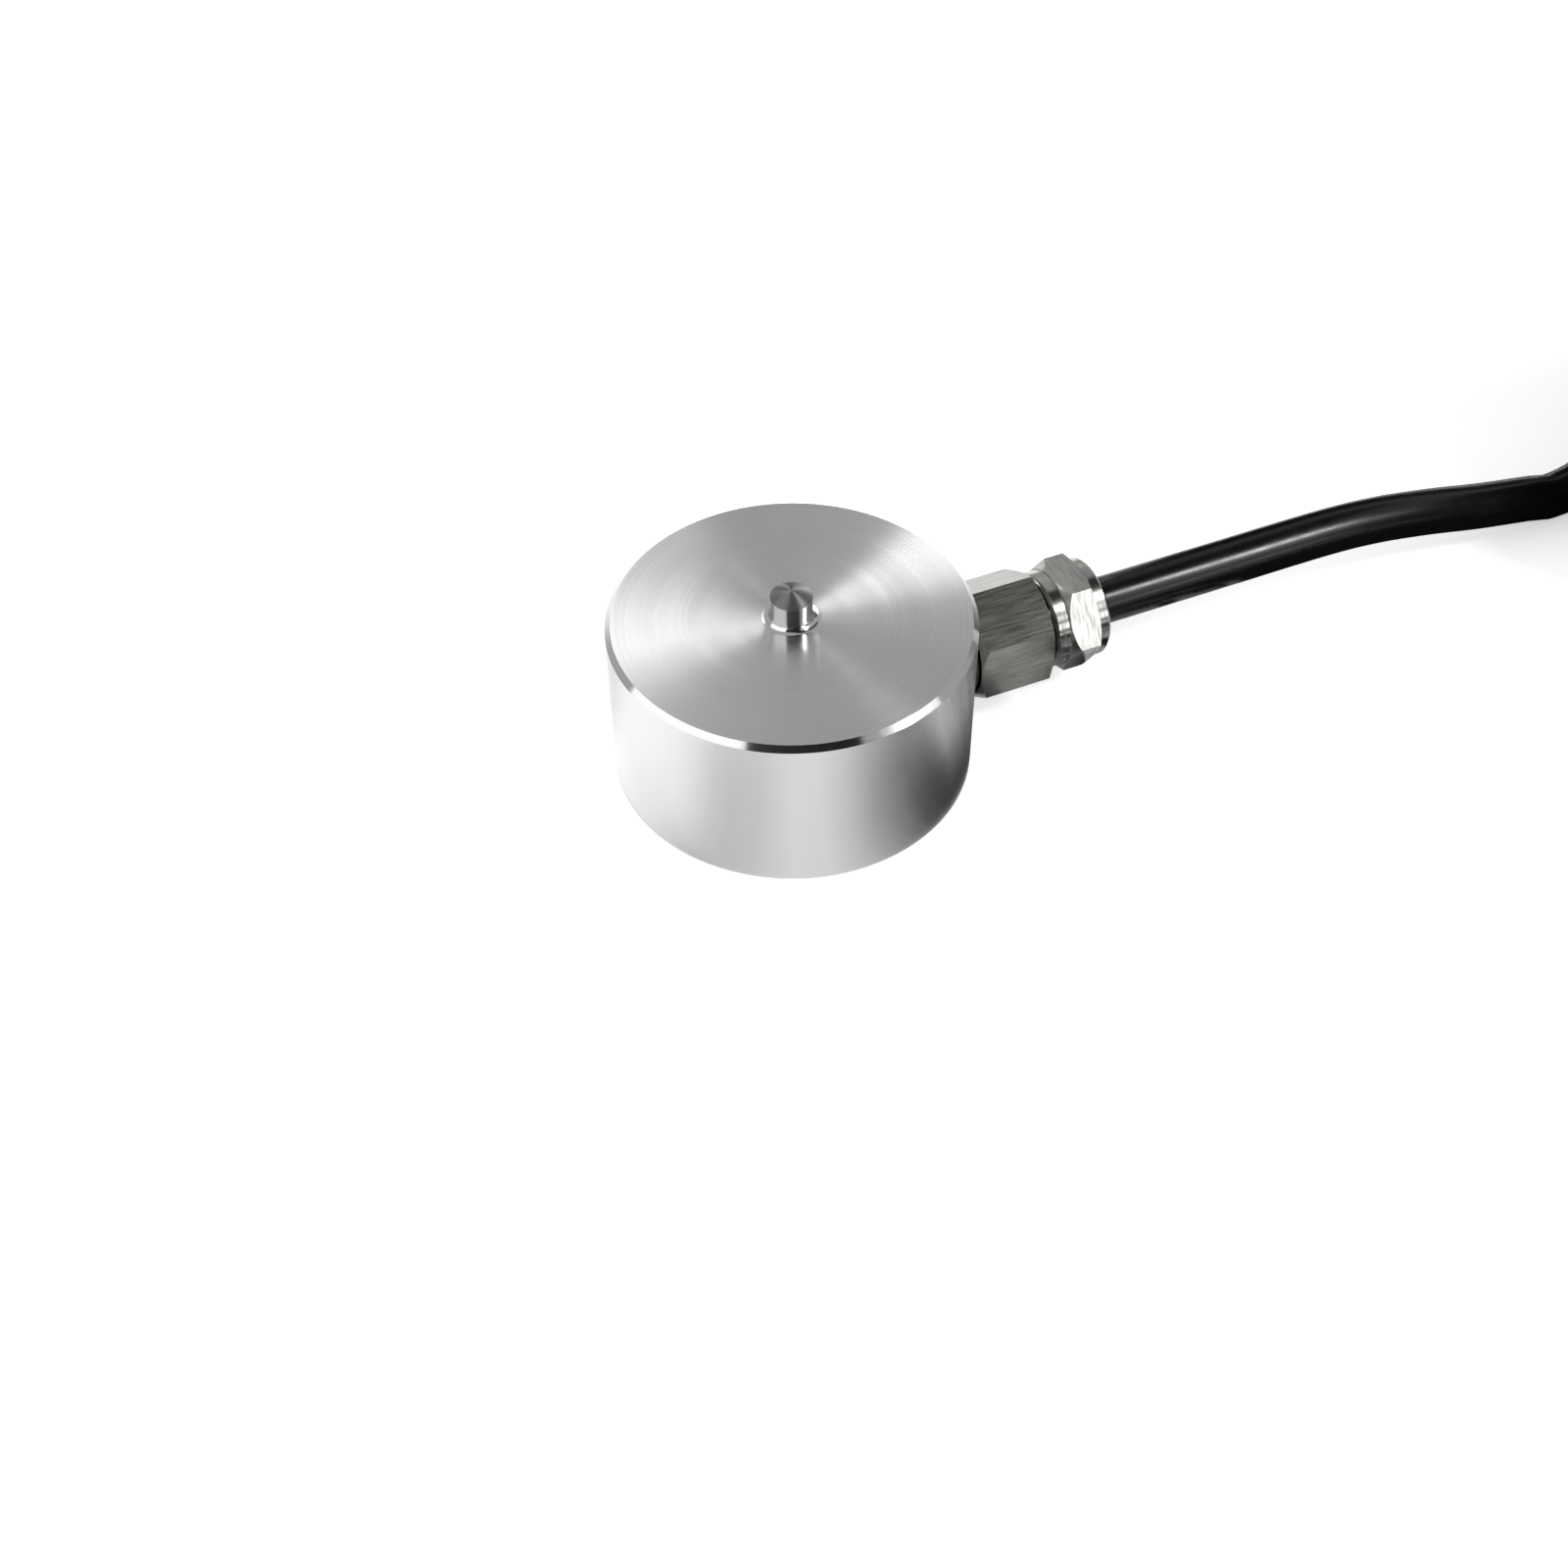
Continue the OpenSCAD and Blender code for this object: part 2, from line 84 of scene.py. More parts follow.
def smooth_path(points: Array, steps: int) -> Array:
    """Smooth curve through points, as cubic stretches whose slope at a point is half the way from
    the point before it to the point after it.

    Args:
        points: The points, one a row.
        steps: Number of steps between two of them.

    Returns:
        The points of the curve, one a row.
    """
    p = np.asarray(points, float)
    before, after = p[np.maximum(np.arange(len(p)) - 1, 0)], p[np.minimum(np.arange(len(p)) + 1, len(p) - 1)]
    slope = (after - before) / 2
    t = (np.arange(steps) / steps)[None, :, None]
    a, b, ma, mb = p[:-1, None], p[1:, None], slope[:-1, None], slope[1:, None]
    run = (2 * t**3 - 3 * t**2 + 1) * a + (t**3 - 2 * t**2 + t) * ma + (3 * t**2 - 2 * t**3) * b + (t**3 - t**2) * mb
    return np.vstack([run.reshape(-1, 3), p[-1]])


def even_path(points: Array, gap: float) -> Array:
    """The same line with its points an even gap apart, by its length from the start."""
    reach = np.concatenate([[0.0], np.cumsum(np.linalg.norm(np.diff(points, axis=0), axis=1))])
    at = np.linspace(0.0, reach[-1], max(2, round(reach[-1] / gap) + 1))
    return np.stack([np.interp(at, reach, points[:, k]) for k in range(3)], axis=1)


def path_length(points: Array) -> float:
    """Length of a line of points."""
    return float(np.linalg.norm(np.diff(points, axis=0), axis=1).sum())


def grid_faces(rows: int, columns: int, closed: bool) -> Array:
    """Faces of a grid of points, row by row: (i, j), (i, j+1), (i+1, j+1), (i+1, j).

    Args:
        rows: Number of rows of points.
        columns: Number of points in a row.
        closed: Whether the last point of a row joins the first.

    Returns:
        Four point numbers for each face.
    """
    i = np.arange(rows - 1)[:, None] * columns
    j = np.arange(columns if closed else columns - 1)[None, :]
    k = (j + 1) % columns
    return np.stack([i + j, i + k, i + columns + k, i + columns + j], axis=-1).reshape(-1, 4)


def make_mesh(name: str, points: Array, faces: list, uv: Array | None = None) -> bpy.types.Object:
    """A smooth mesh object at the origin.

    Args:
        name: Name of the object.
        points: Points in metres, one a row.
        faces: Point numbers of each face.
        uv: A UV place for each point, or None.

    Returns:
        The object, linked to the scene.
    """
    mesh = bpy.data.meshes.new(name)
    mesh.from_pydata(np.asarray(points).tolist(), [], [list(map(int, f)) for f in faces])
    mesh.polygons.foreach_set("use_smooth", np.ones(len(mesh.polygons), bool))
    if uv is not None:
        corner = np.zeros(len(mesh.loops), np.int32)
        mesh.loops.foreach_get("vertex_index", corner)
        mesh.uv_layers.new(name="along").data.foreach_set("uv", np.asarray(uv, np.float32)[corner].ravel())
    mesh.update()
    obj = bpy.data.objects.new(name, mesh)
    bpy.context.scene.collection.objects.link(obj)
    return obj


def tube(name: str, path: Array, radius: float | Array, sides: int = 16) -> bpy.types.Object:
    """A closed round tube: point(i, a) = path(i) + r(i) (cos a s(i) + sin a t(i)), where h is the
    path's heading, s = h x Z at length one and t = s x h. Its ends are closed by flat fans to the end points.

    Args:
        name: Name of the object.
        path: Points of the centre line, nowhere upright.
        radius: Radius, or one for each point.
        sides: Number of points round the tube.

    Returns:
        The tube, with a UV map of the length in metres and the angle in turns.
    """
    heading = unit(np.gradient(path, axis=0))
    side = unit(np.cross(heading, [0.0, 0.0, 1.0]))
    top = np.cross(side, heading)
    angle = np.arange(sides) / sides * 2 * math.pi
    r = np.broadcast_to(np.asarray(radius, float), len(path))[:, None, None]
    ring = np.cos(angle)[None, :, None] * side[:, None] + np.sin(angle)[None, :, None] * top[:, None]
    points = (path[:, None] + r * ring).reshape(-1, 3)
    count = len(points)
    ends = np.stack([path[0], path[-1]])
    faces = grid_faces(len(path), sides, True)
    k = np.arange(sides)
    first = np.stack([np.full(sides, count), (k + 1) % sides, k], axis=1)
    last = np.stack([np.full(sides, count + 1), count - sides + k, count - sides + (k + 1) % sides], axis=1)
    reach = np.concatenate([[0.0], np.cumsum(np.linalg.norm(np.diff(path, axis=0), axis=1))])
    uv = np.stack(np.broadcast_arrays(reach[:, None], angle[None, :] / (2 * math.pi)), axis=-1).reshape(-1, 2)
    uv = np.vstack([uv, [[0.0, 0.0], [reach[-1], 0.0]]])
    obj = make_mesh(name, np.vstack([points, ends]), [*faces, *first, *last], uv)
    return obj


class Graph:
    """A material's node tree, with short calls for the nodes that the finishes use."""

    def __init__(self, name: str) -> None:
        """Starts an empty material of that name."""
        self.material = bpy.data.materials.new(name)
        self.material.use_nodes = True
        self.tree = self.material.node_tree
        self.tree.nodes.clear()
        self.output = self.tree.nodes.new("ShaderNodeOutputMaterial")

    def node(self, kind: str, inputs: dict | None = None, **settings: object) -> Node:
        """A node with its settings and inputs set.

        Args:
            kind: Short name of the node's type.
            inputs: A value or a socket for each named or numbered input.
            settings: The node's own properties.

        Returns:
            The node.
        """
        made = self.tree.nodes.new("ShaderNode" + kind)
        for key, value in settings.items():
            setattr(made, key, value)
        for key, value in (inputs or {}).items():
            if isinstance(value, bpy.types.NodeSocket):
                self.tree.links.new(value, made.inputs[key])
            else:
                made.inputs[key].default_value = value
        return made

    def math(self, operation: str, *values: float | Socket, clamp: bool = False) -> Socket:
        """Result of a Math node on the values."""
        return self.node("Math", dict(enumerate(values)), operation=operation, use_clamp=clamp).outputs[0]

    def vector(self, operation: str, *values: object) -> Socket:
        """Result of a Vector Math node on the values."""
        made = self.node("VectorMath", dict(enumerate(values)), operation=operation)
        return made.outputs["Value" if operation in ("LENGTH", "DOT_PRODUCT", "DISTANCE") else "Vector"]

    def place(self) -> Socket:
        """Place of the shaded point in the object's own frame, in metres."""
        return self.node("TexCoord").outputs["Object"]

    def noise(self, at: Socket, scale: float, detail: float = 2.0, **inputs: float) -> Socket:
        """Value of a Noise texture, about 0.5 on average."""
        settings = {"Vector": at, "Scale": scale, "Detail": detail, **inputs}
        return self.node("TexNoise", settings).outputs["Fac"]

    def span(self, value: Socket, low: float, high: float, to_low: float, to_high: float) -> Socket:
        """The value carried from one range to another, held at its ends."""
        inputs = {"Value": value, "From Min": low, "From Max": high, "To Min": to_low, "To Max": to_high}
        return self.node("MapRange", inputs, clamp=True).outputs["Result"]

    def blend(self, share: Socket | float, first: object, second: object) -> Socket:
        """Colour that goes from the first to the second with the share."""
        made = self.node("Mix", {"Factor": share}, data_type="RGBA")
        for socket, value in ((made.inputs[6], first), (made.inputs[7], second)):
            if isinstance(value, bpy.types.NodeSocket):
                self.tree.links.new(value, socket)
            else:
                socket.default_value = (*value, 1.0)
        return made.outputs[2]

    def bump(self, height: Socket, depth: float, strength: float = 1.0) -> Socket:
        """Normal of a surface raised by height, 0 to 1, times depth in metres."""
        return self.node("Bump", {"Height": height, "Distance": depth, "Strength": strength}).outputs[0]

    def surface(self, **inputs: object) -> bpy.types.Material:
        """Ends the graph with a Principled shader.

        Args:
            inputs: The shader's inputs, with underscores for the blanks in their names.

        Returns:
            The material.
        """
        named = {key.replace("_", " "): value for key, value in inputs.items()}
        for key in ("Base Color",):
            if key in named and not isinstance(named[key], bpy.types.NodeSocket):
                named[key] = (*named[key], 1.0)
        shader = self.node("BsdfPrincipled", named)
        self.tree.links.new(shader.outputs[0], self.output.inputs["Surface"])
        return self.material


@dataclass(frozen=True)
class TurnedBodySteel:
    """Finish of the body: fine circular tool marks on its top face, a satin wall and a polished
    button with a satin dome, whose base colour is darkened as painted shade.

    The tool marks run round the axis, so light spreads across them, away from the axis: the shader's
    tangent is N x c, where c is the direction round the axis.
    """

    name: str = "turned_steel"
    pale: Colour = (0.615, 0.615, 0.61)
    dull: Colour = (0.56, 0.56, 0.555)
    top_z: float = 0.0099
    wall_r: float = 0.0099
    button_r: float = 0.0016
    edge_r: float = 0.00969
    face_roughness: float = 0.245
    wall_roughness: float = 0.252
    wall_lift: float = 0.28
    polish: float = 0.15
    dome_z: float = 0.0114
    dome_edge: float = 0.00008
    dome_roughness: float = 0.6
    dome_tint: Colour = (0.25, 0.25, 0.245)

    def material(self) -> bpy.types.Material:
        """The node material."""
        g = Graph(self.name)
        place = g.place()
        flat = g.vector("MULTIPLY", place, (1.0, 1.0, 0.0))
        reach = g.vector("LENGTH", flat)
        height = g.node("SeparateXYZ", {0: place}).outputs["Z"]
        around = g.vector("CROSS_PRODUCT", (0.0, 0.0, 1.0), flat)
        normal = g.node("NewGeometry").outputs["Normal"]
        tangent = g.vector("NORMALIZE", g.vector("CROSS_PRODUCT", normal, around))
        high = g.math("GREATER_THAN", height, 0.00968)
        polished = g.math("MULTIPLY", high, g.math("MAXIMUM", g.math("LESS_THAN", reach, self.button_r),
                                                   g.math("GREATER_THAN", reach, self.edge_r)))
        cut = g.math("SUBTRACT", 1.0, polished)
        on_wall = g.math("GREATER_THAN", reach, self.wall_r)
        off_wall = g.math("SUBTRACT", 1.0, on_wall)
        on_face = g.math("MULTIPLY", cut, off_wall)
        rings_at = g.node("CombineXYZ", {0: reach, 1: 0.0013, 2: 0.0027}).outputs[0]
        fine = g.noise(rings_at, 14000.0, 3.0)
        wide = g.noise(rings_at, 1600.0, 3.0)
        patch = g.noise(place, 320.0, 4.0)
        uneven = g.math("ADD", g.math("MULTIPLY", wide, off_wall), g.math("MULTIPLY", patch, on_wall))
        rough = g.math("ADD", g.span(uneven, 0.3, 0.7, -0.015, 0.015),
                       g.span(on_wall, 0.0, 1.0, self.face_roughness, self.wall_roughness))
        dome = g.span(height, self.dome_z, self.dome_z + self.dome_edge, 0.0, 1.0)
        smooth = g.span(dome, 0.0, 1.0, self.polish, self.dome_roughness)
        rough = g.math("ADD", g.math("MULTIPLY", rough, cut), g.math("MULTIPLY", polished, smooth))
        shade = g.math("ADD", g.math("MULTIPLY", fine, off_wall), g.math("MULTIPLY", patch, 0.6))
        shade = g.math("MULTIPLY_ADD", on_wall, self.wall_lift, shade)
        tint = g.blend(g.span(shade, 0.5, 1.1, 0.0, 1.0), self.dull, self.pale)
        # Painted shade: the dome gets a darker base colour that stands in for its dim reflection.
        tint = g.blend(dome, tint, self.dome_tint)
        return g.surface(Base_Color=tint, Metallic=1.0, Roughness=rough, Anisotropic=0.92,
                         Tangent=tangent, Normal=g.bump(g.math("MULTIPLY", wide, on_face), 1.5e-7))


@dataclass(frozen=True)
class BrushedSteel:
    """Finish of the fitting, the nut and the cover: fine brushed streaks on plain steel."""

    name: str
    pale: Colour
    dull: Colour
    along: float
    across: float
    roughness: float = 0.2
    depth: float = 1.2e-6

    def material(self) -> bpy.types.Material:
        """The node material. Streaks are noise whose place is scaled by along on X and by across on
        Y and Z, so they run the way of the smaller number."""
        g = Graph(self.name)
        place = g.place()
        streaks = g.noise(g.vector("MULTIPLY", place, (self.along, self.across, self.across)), 1.0, 4.0)
        patch = g.noise(place, 500.0, 3.0)
        shade = g.math("ADD", g.math("MULTIPLY", streaks, 0.7), g.math("MULTIPLY", patch, 0.3))
        tint = g.blend(g.span(shade, 0.36, 0.64, 0.0, 1.0), self.dull, self.pale)
        rough = g.span(streaks, 0.3, 0.7, self.roughness + 0.05, self.roughness - 0.04)
        return g.surface(Base_Color=tint, Metallic=1.0, Roughness=rough, Normal=g.bump(streaks, self.depth))


@dataclass(frozen=True)
class Plastic:
    """Moulded or drawn plastic, rubber, varnish or film: one colour with a slight mottle."""

    name: str
    colour: Colour
    roughness: float = 0.4
    mottle: float = 0.12
    grain: float = 2000.0
    depth: float = 4e-6
    metallic: float = 0.0
    specular: float = 0.5

    def material(self) -> bpy.types.Material:
        """The node material."""
        g = Graph(self.name)
        place = g.place()
        grain = g.noise(place, self.grain, 3.0)
        pale = tuple(min(1.0, c * (1 + self.mottle)) for c in self.colour)
        dull = tuple(c * (1 - self.mottle) for c in self.colour)
        tint = g.blend(g.noise(place, self.grain / 5, 2.0), dull, pale)
        rough = g.span(grain, 0.3, 0.7, self.roughness * 0.85, self.roughness * 1.15)
        return g.surface(Base_Color=tint, Metallic=self.metallic, Roughness=rough,
                         Specular_IOR_Level=self.specular, Normal=g.bump(grain, self.depth))


class Finish(Enum):
    """The finishes by the name of the record's material slot."""

    BODY_STEEL = TurnedBodySteel()
    COVER_STEEL = BrushedSteel("cover_steel", (0.56, 0.56, 0.55), (0.5, 0.5, 0.49), 200.0, 6000.0, 0.3)
    FITTING_STEEL = BrushedSteel("fitting_steel", (0.31, 0.31, 0.29), (0.19, 0.19, 0.178), 600.0, 9000.0, 0.2, 1e-6)
    NUT_STEEL = BrushedSteel("nut_steel", (0.49, 0.49, 0.47), (0.28, 0.28, 0.27), 6500.0, 900.0, 0.18)
    SEAL_RUBBER = Plastic("seal_rubber", (0.02, 0.02, 0.02), 0.7)
    WASHER_BRASS = Plastic("washer_brass", (0.72, 0.56, 0.28), 0.3, metallic=1.0)
    CABLE_JACKET = Plastic("cable_jacket", (0.003, 0.003, 0.003), 0.25, 0.2, 900.0, 1e-6, specular=0.35)
    SLEEVE_PLASTIC = Plastic("sleeve_plastic", (0.02, 0.02, 0.02), 0.5)
    TIE_PLASTIC = Plastic("tie_plastic", (0.03, 0.03, 0.032), 0.45)
    INSULATION_FILM = Plastic("insulation_film", (0.62, 0.36, 0.09), 0.35)
    BOARD_GREEN = Plastic("board_green", (0.04, 0.2, 0.09), 0.35)
    SOLDER = Plastic("solder", (0.68, 0.67, 0.64), 0.28, metallic=1.0)
    RESISTOR_BLACK = Plastic("resistor_black", (0.03, 0.03, 0.035), 0.5)
    RESISTOR_CREAM = Plastic("resistor_cream", (0.72, 0.68, 0.56), 0.5)
    GAUGE_FILM = Plastic("gauge_film", (0.7, 0.42, 0.12), 0.3)
    GAUGE_FOIL = Plastic("gauge_foil", (0.6, 0.42, 0.26), 0.35, metallic=1.0)
    WIRE_COPPER = Plastic("wire_copper", (0.5, 0.2, 0.07), 0.3, metallic=1.0)
    CORE_RED = Plastic("core_red", (0.5, 0.03, 0.02), 0.35)
    CORE_BLACK = Plastic("core_black", (0.02, 0.02, 0.02), 0.35)
    CORE_GREEN = Plastic("core_green", (0.03, 0.25, 0.06), 0.35)
    CORE_WHITE = Plastic("core_white", (0.82, 0.82, 0.79), 0.35)
    TINNED_WIRE = Plastic("tinned_wire", (0.7, 0.69, 0.66), 0.3, metallic=1.0)


class Finishes:
    """Makes each finish's material once and puts it on pieces."""

    def __init__(self) -> None:
        """Starts with no material made."""
        self.made: dict[str, bpy.types.Material] = {}

    def get(self, slot: str) -> bpy.types.Material:
        """The material of a record slot, made on its first use."""
        if slot not in self.made:
            self.made[slot] = Finish[slot.upper()].value.material()
        return self.made[slot]

    def dress(self, obj: bpy.types.Object, slot: str) -> None:
        """Gives an object that finish.

        Args:
            obj: The object to dress.
            slot: Name of the record's material slot.
        """
        obj.data.materials.clear()
        obj.data.materials.append(self.get(slot))

    def dress_nodes(self, slots: dict[str, str]) -> None:
        """Gives every CAD node the finish of its slot."""
        for node, slot in slots.items():
            self.dress(frame["nodes"][node], slot)


@dataclass
class Viewpoint:
    """The camera, from its tilt, roll and turn and from where the body lies in its picture."""

    lens_mm: float = 50.0
    sensor_mm: float = 36.0
    down_deg: float = 45.80
    roll_deg: float = -0.718
    turn_deg: float = 22.96
    away: float = 0.12327
    right: float = 0.000494
    up: float = 0.001919

    def build(self) -> bpy.types.Object:
        """Makes the scene's camera and returns it."""
        down, roll, turn = (math.radians(a) for a in (self.down_deg, self.roll_deg, self.turn_deg))
        ahead = np.array([math.sin(turn) * math.cos(down), math.cos(turn) * math.cos(down), -math.sin(down)])
        level = np.array([math.cos(turn), -math.sin(turn), 0.0])
        rise = np.cross(level, ahead)
        side = math.cos(roll) * level + math.sin(roll) * rise
        top = -math.sin(roll) * level + math.cos(roll) * rise
        place = -(self.right * side + self.up * top + self.away * ahead)
        data = bpy.data.cameras.new("camera")
        data.lens, data.sensor_width, data.clip_start = self.lens_mm, self.sensor_mm, 0.01
        camera = bpy.data.objects.new("camera", data)
        columns = np.column_stack([side, top, -ahead, place])
        camera.matrix_world = Matrix(np.vstack([columns, [0, 0, 0, 1]]).tolist())
        bpy.context.scene.collection.objects.link(camera)
        bpy.context.scene.camera = camera
        return camera


@dataclass
class Cable:
    """The cable: straight out of the nut, down to the floor, and its spare length in a neat coil."""

    diameter: float = 2.8 * MM
    length: float = 1.4
    exit_at: tuple[float, float, float] = (0.0185, 0.0, 0.0043)
    route: Array = field(default_factory=lambda: MM * np.array([
        [8.2, 0, 4.3], [14, 0, 4.3], [20, 0, 4.3], [27, 0, 4.3], [34, 0, 4.3], [38, 0, 4.05],
        [42, 0, 3.4], [46, 0, 2.55], [50, 0, 1.85],
    ]))
    coil_centre: tuple[float, float] = (72 * MM, -9 * MM)
    coil_mid_r: float = 14.6 * MM
    columns: int = 3
    layers: int = 5
    tie_t: float = 0.5 * MM
    bend_r: float = 12 * MM
    low_z: float = 1.5 * MM
    move_share: float = 0.3
    lead_share: float = 0.09
    turn_points: int = 72
    tail_start: float = 66.0
    tail_end: float = -74.0
    tail_r: float = 14.6 * MM
    tail_swing: float = -2.8 * MM
    swing_end: float = -6.0
    sleeve_wall: float = 0.35 * MM
    sleeve_start: float = -53.0
    rise_angle: float = 22.0

    @property
    def outer_r(self) -> float:
        """Radius of the coil's outer column of turns."""
        return self.coil_mid_r + (self.columns - 1) * self.diameter / 2

    @property
    def coil_top(self) -> float:
        """Height of the top of the coil."""
        return self.tie_t + self.layers * self.diameter

    @property
    def join_angle(self) -> float:
        """Angle of the coil, in radians, at which the bend before it meets its outer column."""
        rise = self.bend_r - self.coil_centre[1]
        return math.pi - math.asin(rise / (self.bend_r + self.outer_r))

    def coil_point(self, angle: Array, radius: Array, z: Array) -> Array:
        """Points at angles in radians, radii and heights round the coil's centre."""
        x = self.coil_centre[0] + radius * np.cos(angle)
        return np.stack(np.broadcast_arrays(x, self.coil_centre[1] + radius * np.sin(angle), z), axis=-1)

    def bend(self) -> Array:
        """The bend from the straight route to the coil: an arc of bend_r about a centre bend_r to the
        left of the route, with the height eased from low_z to that of the coil's first layer."""
        centre_x = self.coil_centre[0] + (self.bend_r + self.outer_r) * math.cos(self.join_angle)
        a = np.linspace(-math.pi / 2, self.join_angle - math.pi, 12)
        first_z = self.tie_t + self.diameter / 2
        z = self.low_z + (first_z - self.low_z) * ease(np.linspace(0, 1, 12))
        return np.stack([centre_x + self.bend_r * np.cos(a), self.bend_r + self.bend_r * np.sin(a), z], axis=1)

    def coil(self) -> Array:
        """The coil's turns. With u turns from the join: angle = join - 2 pi u. Each move, from a column to
        the next or up a layer, is a smooth step over move_share of a turn. The moves of one layer are a
        turn apart, and each change of direction comes lead_share of a turn sooner, so that turns pass
        clear of each other."""
        d, steps = self.diameter, self.columns - 1
        moves: list[tuple[float, float, float]] = []
        start, inwards = 1.0 - self.move_share, True
        for layer in range(self.layers):
            for step in range(steps):
                moves.append((start + step, -d if inwards else d, 0.0))
            start += steps - self.lead_share
            moves.append((start, 0.0, d))
            start += 1.0 - self.lead_share
            inwards = not inwards
        total = moves[-1][0] + self.move_share
        u = np.linspace(0.0, total, round(total * self.turn_points) + 1)
        begin, sideways, upwards = (np.array(c) for c in zip(*moves))
        done = ease((u[:, None] - begin) / self.move_share)
        radius = self.outer_r + done @ sideways
        z = self.tie_t + d / 2 + done @ upwards
        return self.coil_point(self.join_angle - 2 * math.pi * u, radius, z)

    def tail(self) -> Array:
        """The end of the cable along the coil's top: the radius is eased from the inner column to the
        middle one, and the height rises by the sleeve's wall before the sleeve."""
        angle = np.linspace(self.tail_start, self.tail_end, 57)
        radius = self.tail_r + self.tail_swing * ease((angle - self.swing_end) / (self.tail_start - self.swing_end))
        rise = self.sleeve_wall * ease((self.sleeve_start + self.rise_angle - angle) / self.rise_angle)
        return self.coil_point(np.radians(angle), radius, self.coil_top + self.diameter / 2 + rise)

    def centre_line(self) -> Array:
        """The whole route, from the fitting to the cut end of the jacket."""
        straight = smooth_path(self.route, 6)
        return np.vstack([straight, self.bend(), self.coil()[1:], self.tail()[1:]])

    def build(self, finishes: Finishes) -> bpy.types.Object:
        """Args:
            finishes: The materials.

        Returns:
            The cable's object.
        """
        path = self.centre_line()
        keep = np.concatenate([[True], np.linalg.norm(np.diff(path, axis=0), axis=1) > 1e-5])
        path = path[keep]
        log.info("cable: %d points, %.3f m", len(path), path_length(path))
        piece = tube("cable_jacket", path, self.diameter / 2, 20)
        finishes.dress(piece, "cable_jacket")
        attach(piece, "root")
        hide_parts("cable", "cable_coil", "cable_tail")
        return piece


@dataclass(frozen=True)
class Softbox:
    """An area lamp that faces the object. Its direction has azimuth 0 at the picture's right and 90 at
    its back, in degrees, and its size is the width and height of the angle that it fills."""

    name: str
    azimuth: float
    elevation: float
    spread: tuple[float, float]
    brightness: float
    away: float = 0.2


@dataclass(frozen=True)
class Flag:
    """A black card that metal mirrors, placed as a softbox is."""

    name: str
    azimuth: float
    elevation: float
    spread: tuple[float, float]
    away: float = 0.25


